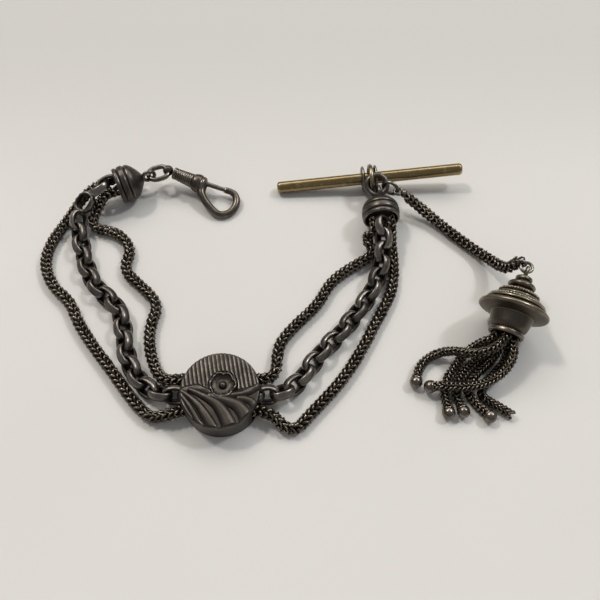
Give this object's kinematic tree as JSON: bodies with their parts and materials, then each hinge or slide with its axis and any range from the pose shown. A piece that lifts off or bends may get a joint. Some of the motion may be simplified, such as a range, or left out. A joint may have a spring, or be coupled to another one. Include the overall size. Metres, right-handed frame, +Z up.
{
  "type": "watch chain",
  "caption": "Three-strand watch chain laid out flat: a round slide, a sprung swivel hook, a T-bar and a tassel.",
  "frame": {"origin": "middle of the slide's back, on the surface that the chain lies on", "axes": "+X along the strands through the slide, towards the T-bar's side; +Y towards the caps; +Z up off the surface"},
  "size_m": [0.0989, 0.0591, 0.0131],
  "materials": {
    "dark_metal": "oxidised silver with a warm brown patina",
    "polished_metal": "worn bright",
    "pewter": "warm grey, worn bright on its rims",
    "aged_brass": "dull",
    "bar_brass": "satin"
  },
  "bodies": {
    "slide": {"slide_back": "dark_metal", "slide_case": "dark_metal", "slide_face": "dark_metal", "slide_flower": "dark_metal", "slide_flower_bead": "dark_metal"},
    "chain_middle": {"inner_strand_middle": "dark_metal", "outer_strand_middle": "dark_metal", "belcher_chain_middle": "dark_metal"},
    "left_lower": {"left_inner_strand_lower": "dark_metal", "left_outer_strand_lower": "dark_metal", "left_belcher_chain_lower": "dark_metal"},
    "left_upper": {"left_inner_strand_upper": "dark_metal", "left_outer_strand_upper": "dark_metal", "left_belcher_chain_upper": "dark_metal"},
    "left_cap": {"left_cap": "dark_metal"},
    "oval_ring": {"oval_ring": "polished_metal"},
    "swivel_pin": {"swivel_ball_pin": "polished_metal"},
    "swivel": {"swivel_barrel": "dark_metal", "swivel_hook": "dark_metal", "gate_pin": "polished_metal", "gate_spring": "polished_metal"},
    "gate": {"swivel_gate": "dark_metal"},
    "right_lower": {"right_inner_strand_lower": "dark_metal", "right_outer_strand_lower": "dark_metal", "right_belcher_chain_lower": "dark_metal"},
    "right_upper": {"right_inner_strand_upper": "dark_metal", "right_outer_strand_upper": "dark_metal", "right_belcher_chain_upper": "dark_metal"},
    "right_cap": {"right_cap": "dark_metal"},
    "jump_ring": {"jump_ring": "dark_metal"},
    "bar_ring": {"bar_ring": "aged_brass"},
    "t_bar": {"t_bar": "bar_brass", "bar_collar_left": "dark_metal", "bar_collar_right": "dark_metal"},
    "tassel_top_ring": {"tassel_top_ring": "dark_metal"},
    "tassel_chain_upper": {"tassel_chain_upper": "dark_metal"},
    "tassel_chain_middle": {"tassel_chain_middle": "dark_metal"},
    "tassel_chain_lower": {"tassel_chain_lower": "dark_metal"},
    "tassel_lower_ring": {"tassel_lower_ring": "dark_metal"},
    "tassel_head": {"tassel_stem": "pewter", "tassel_beaded_ring": "pewter", "tassel_upper_disc": "pewter", "tassel_lower_disc": "pewter", "tassel_cup": "pewter"},
    "fringe": {"fringe_strand_1": "dark_metal", "fringe_strand_2": "dark_metal", "fringe_strand_3": "dark_metal", "fringe_strand_4": "dark_metal", "fringe_strand_5": "dark_metal", "fringe_strand_6": "dark_metal", "fringe_balls": "dark_metal"}
  },
  "joints": [
    {"name": "slide_travel", "type": "slide", "parent": "slide", "child": "chain_middle", "axis": [1, 0, 0], "range_m": [-0.002, 0.002]},
    {"name": "left_lower_flex", "type": "hinge", "parent": "chain_middle", "child": "left_lower", "pos_m": [-0.0098, 0, 0.00232], "axis": [0, 0, 1], "range_deg": [-6, 6]},
    {"name": "left_upper_flex", "type": "hinge", "parent": "left_lower", "child": "left_upper", "pos_m": [-0.02118, 0.01746, 0.0017], "axis": [0, 0, 1], "range_deg": [-4, 4]},
    {"name": "left_cap_turn", "type": "hinge", "parent": "left_upper", "child": "left_cap", "pos_m": [-0.0259, 0.0454, 0.00393], "axis": [0, 0, 1], "range_deg": [-4, 4]},
    {"name": "oval_ring_turn", "type": "hinge", "parent": "left_cap", "child": "oval_ring", "pos_m": [-0.01818, 0.04884, 0.00393], "axis": [0, 0, 1], "range_deg": [-15, 15]},
    {"name": "swivel_lift", "type": "hinge", "parent": "oval_ring", "child": "swivel_pin", "pos_m": [-0.01414, 0.05031, 0.00393], "axis": [0.342, -0.9397, 0], "range_deg": [0, 45]},
    {"name": "swivel_spin", "type": "hinge", "parent": "swivel_pin", "child": "swivel", "pos_m": [-0.01414, 0.05031, 0.00393], "axis": [0.9191, -0.3528, -0.1754], "continuous": true},
    {"name": "gate_press", "type": "hinge", "parent": "swivel", "child": "gate", "pos_m": [-0.00621, 0.04792, 0.00255], "axis": [0.1103, -0.197, 0.9742], "range_deg": [-22, 0], "stiffness_Nm_per_rad": 0.0004, "springref_deg": 3},
    {"name": "right_lower_flex", "type": "hinge", "parent": "chain_middle", "child": "right_lower", "pos_m": [0.0098, 0, 0.00232], "axis": [0, 0, 1], "range_deg": [-6, 6]},
    {"name": "right_upper_flex", "type": "hinge", "parent": "right_lower", "child": "right_upper", "pos_m": [0.02472, 0.01611, 0.0017], "axis": [0, 0, 1], "range_deg": [-3, 4]},
    {"name": "right_cap_turn", "type": "hinge", "parent": "right_upper", "child": "right_cap", "pos_m": [0.0312, 0.03587, 0.00393], "axis": [0, 0, 1], "range_deg": [-2, 4]},
    {"name": "jump_ring_turn", "type": "hinge", "parent": "right_cap", "child": "jump_ring", "pos_m": [0.03091, 0.04431, 0.00393], "axis": [0, 0, 1], "range_deg": [-2, 6]},
    {"name": "bar_ring_turn", "type": "hinge", "parent": "jump_ring", "child": "bar_ring", "pos_m": [0.02952, 0.04499, 0.00343], "axis": [0, 0, 1], "range_deg": [-5, 5]},
    {"name": "t_bar_spin", "type": "hinge", "parent": "bar_ring", "child": "t_bar", "pos_m": [0.0293, 0.0491, 0.00278], "axis": [0.9948, 0.0696, 0.075], "continuous": true},
    {"name": "top_ring_turn", "type": "hinge", "parent": "jump_ring", "child": "tassel_top_ring", "pos_m": [0.03203, 0.04562, 0.00484], "axis": [0, 0, 1], "range_deg": [-1, 6]},
    {"name": "tassel_chain_upper_turn", "type": "hinge", "parent": "tassel_top_ring", "child": "tassel_chain_upper", "pos_m": [0.03487, 0.04407, 0.00484], "axis": [0, 0, 1], "range_deg": [-2, 8]},
    {"name": "tassel_chain_middle_flex", "type": "hinge", "parent": "tassel_chain_upper", "child": "tassel_chain_middle", "pos_m": [0.0406, 0.0409, 0.00215], "axis": [0, 0, 1], "range_deg": [-2, 8]},
    {"name": "tassel_chain_lower_flex", "type": "hinge", "parent": "tassel_chain_middle", "child": "tassel_chain_lower", "pos_m": [0.0485, 0.0337, 0.00174], "axis": [0, 0, 1], "range_deg": [-2, 8]},
    {"name": "lower_ring_turn", "type": "hinge", "parent": "tassel_chain_lower", "child": "tassel_lower_ring", "pos_m": [0.05667, 0.0241, 0.00848], "axis": [0, 0, 1], "range_deg": [-2, 8]},
    {"name": "tassel_head_turn", "type": "hinge", "parent": "tassel_lower_ring", "child": "tassel_head", "pos_m": [0.05715, 0.02215, 0.00848], "axis": [0, 0, 1], "range_deg": [-2, 10]},
    {"name": "fringe_sway", "type": "hinge", "parent": "tassel_head", "child": "fringe", "pos_m": [0.0524, 0.01072, 0.00544], "axis": [0, 0, 1], "range_deg": [-3, 6]}
  ]
}
